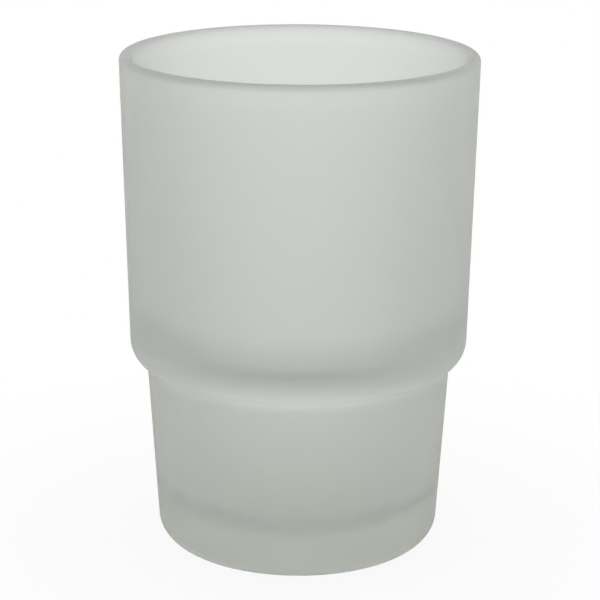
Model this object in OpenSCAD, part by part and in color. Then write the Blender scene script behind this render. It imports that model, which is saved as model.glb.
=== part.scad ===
// Bathroom tumbler: one pressed glass vessel with a stepped wall, a rounded rim and a thick base.
// The shoulder of the step is the seat for the ring of a wall holder.
// The whole shape turns about Z. It stands on the plane z = 0, and its rim is at the top.

/* [Body] */
// Height from the table to the top of the rim
total_h = 99; // [80:1:130]
// Diameter over the rim, the widest place
rim_d = 70; // [60:1:90]
// Thickness of the wall above the step
wall_t = 2.4; // [1.8:0.1:3.5]
// Lean of the wall above the step, in degrees from upright
upper_draft = 1.4; // [0.5:0.05:2.5]
// Lean of the wall below the step, in degrees from upright
lower_draft = 3.6; // [1:0.1:5]

/* [Step] */
// Height at which the outside starts to turn in under the shoulder
shoulder_h = 42; // [34:0.1:50]
// How far the lower wall stands in from the upper one, at the height of the shoulder
step_inset = 3; // [2:0.1:5]
// Radius of the convex shoulder, outside
shoulder_r = 5.3; // [4:0.1:8]
// Radius of the concave crease below the shoulder, outside
crease_r = 3.5; // [1:0.1:5]

/* [Base] */
// Radius of the round between the lower wall and the foot
heel_r = 5; // [3:0.1:8]
// Width of the flat ring that the tumbler stands on
foot_ring_w = 2.5; // [1.5:0.5:8]
// Depth of the shallow hollow under the base
punt_h = 4; // [0.4:0.1:5]

/* [Inside] */
// Height of the inside floor above the table
floor_h = 9.3; // [6:0.1:14]
// Radius of the round between the inside floor and the wall
floor_r = 4.5; // [2:0.5:10]
// Thickness of the wall below the step
lower_wall_t = 3.1; // [2:0.1:4.5]
// How much higher the inside starts to turn in than the outside
inner_rise = 8.9; // [4:0.1:10]
// Radius of the shoulder, inside
inner_shoulder_r = 13.5; // [6:0.1:15]
// Radius of the crease, inside
inner_crease_r = 9.5; // [4:0.1:12]

/* [Hidden] */
// Degrees from one point to the next along a round, and facets round the whole tumbler
round_step = 5;
$fn = 180;
// The rim is a full round as wide as the wall
rim_r = wall_t / 2;
rim_centre = [rim_d / 2 - rim_r, total_h - rim_r];
// A point on each of the four straight stretches of wall
upper_out = rim_centre + rim_r * across(upper_draft);
upper_in = rim_centre - rim_r * across(upper_draft);
lower_out = [wall_x(upper_out, upper_draft, shoulder_h) - step_inset, shoulder_h];
lower_in = lower_out - lower_wall_t * across(lower_draft);

// Unit vectors along a leaning wall, upwards, and straight out of it
function along(draft) = [sin(draft), cos(draft)];
function across(draft) = [cos(draft), -sin(draft)];

// Distance from the axis, at height z, of a wall that leans by draft and passes through p
function wall_x(p, draft, z) = p.x - (p.y - z) * tan(draft);

// Points of an arc, both ends included
function arc(centre, r, from, to) =
    let (steps = ceil(abs(to - from) / round_step))
    [for (i = [0:steps]) let (a = from + (to - from) * i / steps) centre + r * [cos(a), sin(a)]];

// The round from a level floor at height z up to the lower wall
function corner(p, r, z) =
    arc([wall_x(p, lower_draft, z + r) - r / cos(lower_draft), z + r], r, -90, -lower_draft);

// The step, from the lower wall up to the upper one: a concave crease, then a convex shoulder that
// starts at height z. The two arcs touch where the wall leans the most.
function step(lower, upper, r_crease, r_shoulder, z) =
    let (
        c_shoulder = [wall_x(upper, upper_draft, z) - r_shoulder / cos(upper_draft), z],
        reach = r_crease + r_shoulder,
        up = along(lower_draft),
        gap = lower + r_crease * across(lower_draft) - c_shoulder,
        c_crease = c_shoulder + gap - up * (gap * up + sqrt((gap * up) ^ 2 - gap * gap + reach ^ 2)),
        lean = atan2(c_shoulder.y - c_crease.y, c_crease.x - c_shoulder.x)
    )
    concat(
        arc(c_crease, r_crease, 180 - lower_draft, 180 - lean),
        tail(arc(c_shoulder, r_shoulder, -lean, -upper_draft))
    );

// A list of points without its first, and a list in the other order
function tail(points) = [for (i = [1:len(points) - 1]) points[i]];
function reversed(points) = [for (i = [len(points) - 1:-1:0]) points[i]];

// The hollow under the base is part of a large sphere that ends at the foot ring
heel = corner(lower_out, heel_r, 0);
punt_r = heel[0].x - foot_ring_w;
punt_ball_r = (punt_r ^ 2 + punt_h ^ 2) / (2 * punt_h);
punt_edge = asin(punt_r / punt_ball_r);
punt = reversed(arc([0, punt_h - punt_ball_r], punt_ball_r, 90 - punt_edge, 90));

outside = concat(
    punt,
    heel,
    step(lower_out, upper_out, crease_r, shoulder_r, shoulder_h)
);
rim = arc(rim_centre, rim_r, -upper_draft, 180 - upper_draft);
inside = concat(
    [[0, floor_h]],
    corner(lower_in, floor_r, floor_h),
    step(lower_in, upper_in, inner_crease_r, inner_shoulder_r, shoulder_h + inner_rise)
);

// One piece of glass: the outline of half its section, turned about the axis
module tumbler() {
    color([0.78, 0.82, 0.78])
        rotate_extrude()
            polygon(concat(outside, rim, reversed(inside)));
}

tumbler();
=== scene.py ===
import math

import bmesh
import bpy
from mathutils import Matrix, Vector


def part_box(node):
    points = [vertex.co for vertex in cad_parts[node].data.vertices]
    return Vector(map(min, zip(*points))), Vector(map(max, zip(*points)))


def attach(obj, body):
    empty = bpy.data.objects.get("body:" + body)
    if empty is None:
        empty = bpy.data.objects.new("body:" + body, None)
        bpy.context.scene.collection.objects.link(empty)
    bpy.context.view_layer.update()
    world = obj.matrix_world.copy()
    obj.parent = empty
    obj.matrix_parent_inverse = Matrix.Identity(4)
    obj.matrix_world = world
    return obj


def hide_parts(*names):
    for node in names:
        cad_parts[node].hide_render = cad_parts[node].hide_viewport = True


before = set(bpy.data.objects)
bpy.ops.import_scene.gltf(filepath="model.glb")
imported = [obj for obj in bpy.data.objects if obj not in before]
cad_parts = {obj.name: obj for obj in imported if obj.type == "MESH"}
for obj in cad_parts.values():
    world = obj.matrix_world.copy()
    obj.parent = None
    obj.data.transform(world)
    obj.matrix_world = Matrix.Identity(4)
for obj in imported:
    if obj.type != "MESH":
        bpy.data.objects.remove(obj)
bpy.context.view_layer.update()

# The tumbler. One piece of pressed soda-lime glass: a wide upper wall, a rounded shoulder that rests on
# the ring of a wall holder, a narrower lower wall, and a thick base with a shallow hollow underneath.
# Half of its section is drawn from the axis outwards, up, over the rim and down the inside, then spun.
MM = 0.001
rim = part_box("tumbler")[1]
wall = 2.4 * MM
upper_draft = math.radians(1.4)
lower_draft = math.radians(3.6)
shoulder_height = 42 * MM
step_inset = 3 * MM
shoulder_round = 5.3 * MM
crease_round = 3.5 * MM
heel_round = 5 * MM
foot_ring = 2.5 * MM
punt_height = 4 * MM
floor_height = 9.3 * MM
floor_round = 4.5 * MM
lower_wall = 3.1 * MM
inner_rise = 8.9 * MM
inner_shoulder_round = 13.5 * MM
inner_crease_round = 9.5 * MM
round_step = math.radians(5)
rim_step = math.radians(10)
punt_steps = 6
foot_ring_cuts = 2
lower_wall_cuts = 8
upper_wall_cuts = 16
floor_cuts = 6
turns = 240
weld = 0.01 * MM


def along(draft):
    """Unit vector up a leaning wall."""
    return Vector((math.sin(draft), 0, math.cos(draft)))


def across(draft):
    """Unit vector straight out of a leaning wall."""
    return Vector((math.cos(draft), 0, -math.sin(draft)))


def on_wall(point, draft, z):
    """The point at height z of the wall that leans by draft and passes through point."""
    return Vector((point.x - (point.z - z) * math.tan(draft), 0, z))


def step_rounds(lower, upper, crease_radius, shoulder_radius, z):
    """Centres of the crease and of the shoulder that starts at z, and the lean where the two meet."""
    shoulder = on_wall(upper, upper_draft, z) - Vector((shoulder_radius / math.cos(upper_draft), 0, 0))
    gap = lower + crease_radius * across(lower_draft) - shoulder
    rise = gap.dot(along(lower_draft))
    reach = crease_radius + shoulder_radius
    slide = rise + math.sqrt(rise**2 - gap.length_squared + reach**2)
    crease = shoulder + gap - slide * along(lower_draft)
    return crease, shoulder, math.atan2(shoulder.z - crease.z, crease.x - shoulder.x)


rim_round = wall / 2
rim_centre = Vector((rim.x - rim_round, 0, rim.z - rim_round))
upper_outside = rim_centre + rim_round * across(upper_draft)
upper_inside = rim_centre - rim_round * across(upper_draft)
lower_outside = on_wall(upper_outside, upper_draft, shoulder_height) - Vector((step_inset, 0, 0))
lower_inside = lower_outside - lower_wall * across(lower_draft)
crease, shoulder, lean = step_rounds(
    lower_outside, upper_outside, crease_round, shoulder_round, shoulder_height)
inner_crease, inner_shoulder, inner_lean = step_rounds(
    lower_inside, upper_inside, inner_crease_round, inner_shoulder_round, shoulder_height + inner_rise)
heel = on_wall(lower_outside, lower_draft, heel_round) - Vector((heel_round / math.cos(lower_draft), 0, 0))
corner = on_wall(lower_inside, lower_draft, floor_height + floor_round)
corner.x -= floor_round / math.cos(lower_draft)

glass = bmesh.new()
inside = glass.verts.layers.float.new("inside")


def line_to(tip, end, cuts):
    """Draws a straight stretch from tip in equal cuts, and returns the new tip."""
    start = tip.co.copy()
    for cut in range(cuts):
        tip = bmesh.ops.extrude_vert_indiv(glass, verts=[tip])["verts"][0]
        tip.co = start.lerp(end, (cut + 1) / cuts)
    return tip


def turn_about(tip, centre, angle, largest=round_step):
    """Draws a round from tip about centre, and returns the new tip. Left is a positive angle."""
    drawn = bmesh.ops.spin(glass, geom=[tip], cent=centre, axis=(0, -1, 0), angle=angle,
                           steps=math.ceil(abs(angle) / largest), use_merge=False, use_duplicate=False)
    return next(part for part in drawn["geom_last"] if isinstance(part, bmesh.types.BMVert))


quarter = math.pi / 2
punt_edge = heel.x - foot_ring
punt_round = (punt_edge**2 + punt_height**2) / (2 * punt_height)
punt_angle = math.asin(punt_edge / punt_round)
tip = glass.verts.new((0, 0, punt_height))
tip = turn_about(tip, Vector((0, 0, punt_height - punt_round)), -punt_angle, punt_angle / punt_steps)
tip = line_to(tip, Vector((heel.x, 0, 0)), foot_ring_cuts)
tip = turn_about(tip, heel, quarter - lower_draft)
tip = line_to(tip, crease - crease_round * across(lower_draft), lower_wall_cuts)
tip = turn_about(tip, crease, lower_draft - lean)
tip = turn_about(tip, shoulder, lean - upper_draft)
tip = line_to(tip, upper_outside, upper_wall_cuts)
tip = turn_about(tip, rim_centre, math.pi, rim_step)
tip[inside] = 1
tip = line_to(tip, inner_shoulder + inner_shoulder_round * across(upper_draft), upper_wall_cuts)
tip = turn_about(tip, inner_shoulder, upper_draft - inner_lean)
tip = turn_about(tip, inner_crease, inner_lean - lower_draft)
tip = line_to(tip, corner + floor_round * across(lower_draft), lower_wall_cuts)
tip = turn_about(tip, corner, lower_draft - quarter)
tip = line_to(tip, Vector((0, 0, floor_height)), floor_cuts)

bmesh.ops.spin(glass, geom=glass.verts[:] + glass.edges[:], cent=(0, 0, 0), axis=(0, 0, 1),
               angle=2 * math.pi, steps=turns, use_merge=True, use_duplicate=False)
bmesh.ops.remove_doubles(glass, verts=glass.verts[:], dist=weld)
bmesh.ops.recalc_face_normals(glass, faces=glass.faces[:])
for face in glass.faces:
    face.smooth = True
tumbler_mesh = bpy.data.meshes.new("glass_tumbler")
glass.to_mesh(tumbler_mesh)
glass.free()
tumbler = bpy.data.objects.new("glass_tumbler", tumbler_mesh)
bpy.context.collection.objects.link(tumbler)


class Wire:
    """An output of a node. Sums and products of wires add Math nodes, and node() adds any other kind."""

    def __init__(self, tree, output=None):
        self.tree = tree
        self.output = output

    def node(self, kind, settings=None, sockets=None, output=0):
        """Adds a node, sets its settings, then the value or wire of each socket, and gives one output."""
        made = self.tree.nodes.new(kind)
        for name, value in (settings or {}).items():
            setattr(made, name, value)
        for name, value in (sockets or {}).items():
            if isinstance(value, Wire):
                self.tree.links.new(value.output, made.inputs[name])
            else:
                made.inputs[name].default_value = value
        return Wire(self.tree, made.outputs[output] if made.outputs else None)

    def other(self, name):
        """Another output of the node that this wire comes from."""
        return Wire(self.tree, self.output.node.outputs[name])

    def maths(self, operation, first, second):
        """A Math node on two wires, or on a wire and a number."""
        return self.node("ShaderNodeMath", {"operation": operation}, {0: first, 1: second})

    def __add__(self, value):
        return self.maths("ADD", self, value)

    def __sub__(self, value):
        return self.maths("SUBTRACT", self, value)

    def __rsub__(self, value):
        return self.maths("SUBTRACT", value, self)

    def __mul__(self, value):
        return self.maths("MULTIPLY", self, value)

    __radd__ = __add__
    __rmul__ = __mul__


def start_nodes(owner):
    """Empties the nodes of a material or a world and gives a wire to build on."""
    owner.use_nodes = True
    owner.node_tree.nodes.clear()
    return Wire(owner.node_tree)


# The satin finish. The pressed glass was dipped in acid, which left a fine even grain, more so outside.
# The fire-polished rim took less of it. Its colour is darker in a line along the rim, a painted shade, and
# lighter in a band just under the line, a painted light.
# The foot ring is rubbed smooth. Distances are from the top of the rim down, or from the table up.
cloud_scale = 70
cloud_detail = 3
grain_scale = 3500
grain_detail = 2
grain_depth = 0.01 * MM
grain_strength = 0.3
grey_green = (0.923, 0.937, 0.913, 1)
pale_grey_green = (0.929, 0.943, 0.919, 1)
# Painted light: a band just under the rim is made lighter than the glass's own colour.
painted_light_under_rim = (1.055, 1.055, 1.055, 1)
light_band_end = 5 * MM
light_band_start = 1.6 * MM
# Painted shade: a thin line at the rim is made darker than the glass's own colour.
painted_rim_shade = (0.845, 0.85, 0.845, 1)
line_end = 1.4 * MM
line_end_within = 2.6 * MM
line_start = 0.6 * MM
rubbed_end = 0.3 * MM
rubbed_start = 0.05 * MM
etched = 0.58
patchiness = 0.06
finer_within = 0.105
polish_at_rim = 0.15
polish_at_foot = 0.2
glass_ior = 1.5
body_tint = (0.65, 0.7, 0.6, 1)
body_density = 12.5


def ramp(value, zero, one):
    """A mask that is 0 where value is zero and 1 where value is one, with an even run between."""
    return value.node("ShaderNodeMapRange", sockets={"Value": value, "From Min": zero, "From Max": one})


def tinted(colour, mask, tint):
    """A colour multiplied by a tint where the mask is 1."""
    return mask.node("ShaderNodeMix", {"data_type": "RGBA", "blend_type": "MULTIPLY"}, {
        0: mask, 6: colour, 7: tint}, output=2)


satin = bpy.data.materials.new("frosted_glass")
nodes = start_nodes(satin)
place = nodes.node("ShaderNodeTexCoord", output="Object")
clouds = nodes.node("ShaderNodeTexNoise", sockets={
    "Vector": place, "Scale": cloud_scale, "Detail": cloud_detail})
grain = nodes.node("ShaderNodeTexNoise", sockets={
    "Vector": place, "Scale": grain_scale, "Detail": grain_detail})
within = nodes.node("ShaderNodeAttribute", {"attribute_name": "inside"}, output="Fac")
height = nodes.node("ShaderNodeSeparateXYZ", sockets={"Vector": place}, output="Z")
rim_light_band = ramp(height, rim.z - light_band_end, rim.z - light_band_start)
at_rim = ramp(height, rim.z - line_end - (line_end_within - line_end) * within, rim.z - line_start)
at_foot = ramp(height, rubbed_end, rubbed_start)
colour = nodes.node("ShaderNodeMix", {"data_type": "RGBA"}, {
    0: clouds, 6: grey_green, 7: pale_grey_green}, output=2)
# Painted light: a lighter band just under the rim.
colour = tinted(colour, rim_light_band, painted_light_under_rim)
# Painted shade: a darker line along the rim, reaching further down on the inside.
colour = tinted(colour, at_rim, painted_rim_shade)
roughness = (etched + patchiness * (clouds - 0.5) - finer_within * within
             - polish_at_rim * at_rim - polish_at_foot * at_foot)
bump = nodes.node("ShaderNodeBump", sockets={
    "Strength": grain_strength, "Distance": grain_depth, "Height": grain})
surface = nodes.node("ShaderNodeBsdfPrincipled", sockets={
    "Base Color": colour, "Roughness": roughness, "IOR": glass_ior, "Transmission Weight": 1,
    "Normal": bump})
body = nodes.node("ShaderNodeVolumeAbsorption", sockets={"Color": body_tint, "Density": body_density})
nodes.node("ShaderNodeOutputMaterial", sockets={"Surface": surface, "Volume": body})
tumbler_mesh.materials.append(satin)
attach(tumbler, "root")
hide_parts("tumbler")

# The table. A plain pale matt top that runs out to white, so that the tumbler stands in a soft shadow.
# Towards the camera, and through the glass, it shows as the white of the backdrop, more so far away.
# It lies a hair below the foot ring, because etched glass stands on the tips of its grain.
table_radius = 3
table_sides = 96
air_gap = 0.02 * MM
pale_grey = (0.62, 0.62, 0.62, 1)
pure_white = (1, 1, 1, 1)
shadow_core = 25 * MM
shadow_edge = 120 * MM
white_in_shadow = 0.91
glass_near = 60 * MM
glass_far = 500 * MM
white_near = 0.32
white_far = 0.42
plane = bmesh.new()
bmesh.ops.create_circle(plane, cap_ends=True, radius=table_radius, segments=table_sides,
                        matrix=Matrix.Translation((0, 0, -air_gap)))
table_mesh = bpy.data.meshes.new("table")
plane.to_mesh(table_mesh)
plane.free()
table = bpy.data.objects.new("table", table_mesh)
bpy.context.collection.objects.link(table)
matt = bpy.data.materials.new("pale_table")
nodes = start_nodes(matt)
place = nodes.node("ShaderNodeTexCoord", output="Object")
distance = nodes.node("ShaderNodeVectorMath", {"operation": "LENGTH"}, {0: place}, output="Value")
seen = nodes.node("ShaderNodeMapRange", {"interpolation_type": "SMOOTHSTEP"}, {
    "Value": distance, "From Min": shadow_core, "From Max": shadow_edge,
    "To Min": white_in_shadow, "To Max": 1})
seen_in_glass = nodes.node("ShaderNodeMapRange", {"interpolation_type": "SMOOTHSTEP"}, {
    "Value": distance, "From Min": glass_near, "From Max": glass_far,
    "To Min": white_near, "To Max": white_far})
rays = nodes.node("ShaderNodeLightPath", output="Is Camera Ray")
in_glass = rays.maths("MAXIMUM", rays.other("Is Glossy Ray"), rays.other("Is Transmission Ray"))
white = rays * seen + in_glass * seen_in_glass
top = nodes.node("ShaderNodeBsdfDiffuse", sockets={"Color": pale_grey})
glow = nodes.node("ShaderNodeEmission", sockets={"Color": pure_white, "Strength": 1})
mixed = nodes.node("ShaderNodeMixShader", sockets={0: white, 1: top, 2: glow})
nodes.node("ShaderNodeOutputMaterial", sockets={"Surface": mixed})
table_mesh.materials.append(matt)

# The light. An even white sky all round, as in a light tent of white cloth, with no lamp of its own.
# Every side of the tumbler looks alike in it, and the glass takes its tones from its own shape.
sky = bpy.data.worlds.new("light_tent")
bpy.context.scene.world = sky
nodes = start_nodes(sky)
white_sky = nodes.node("ShaderNodeBackground", sockets={"Color": pure_white, "Strength": 1})
nodes.node("ShaderNodeOutputWorld", sockets={"Surface": white_sky})

# The camera. It looks down on the tumbler from less than half a metre away, through a long lens.
# It is rolled by a hair, and its frame is square.
frame_pixels = 600
focal_pixels = 2212
shift_pixels = 1.4
sensor = 36
camera_back = 424.4 * MM
camera_height = 172.75 * MM
aim_height = 49.06 * MM
roll = math.radians(0.31)
nearest = 10 * MM
camera_data = bpy.data.cameras.new("camera")
camera = bpy.data.objects.new("camera", camera_data)
bpy.context.collection.objects.link(camera)
camera.location = Vector((0, -camera_back, camera_height))
look = Vector((0, 0, aim_height)) - camera.location
tilt = Matrix.Rotation(roll, 3, "Z")
camera.rotation_euler = (look.to_track_quat("-Z", "Y").to_matrix() @ tilt).to_euler()
camera_data.sensor_width = sensor
camera_data.lens = sensor * focal_pixels / frame_pixels
camera_data.shift_x = shift_pixels / frame_pixels
camera_data.clip_start = nearest
bpy.context.scene.camera = camera
bpy.context.scene.view_settings.view_transform = "Standard"
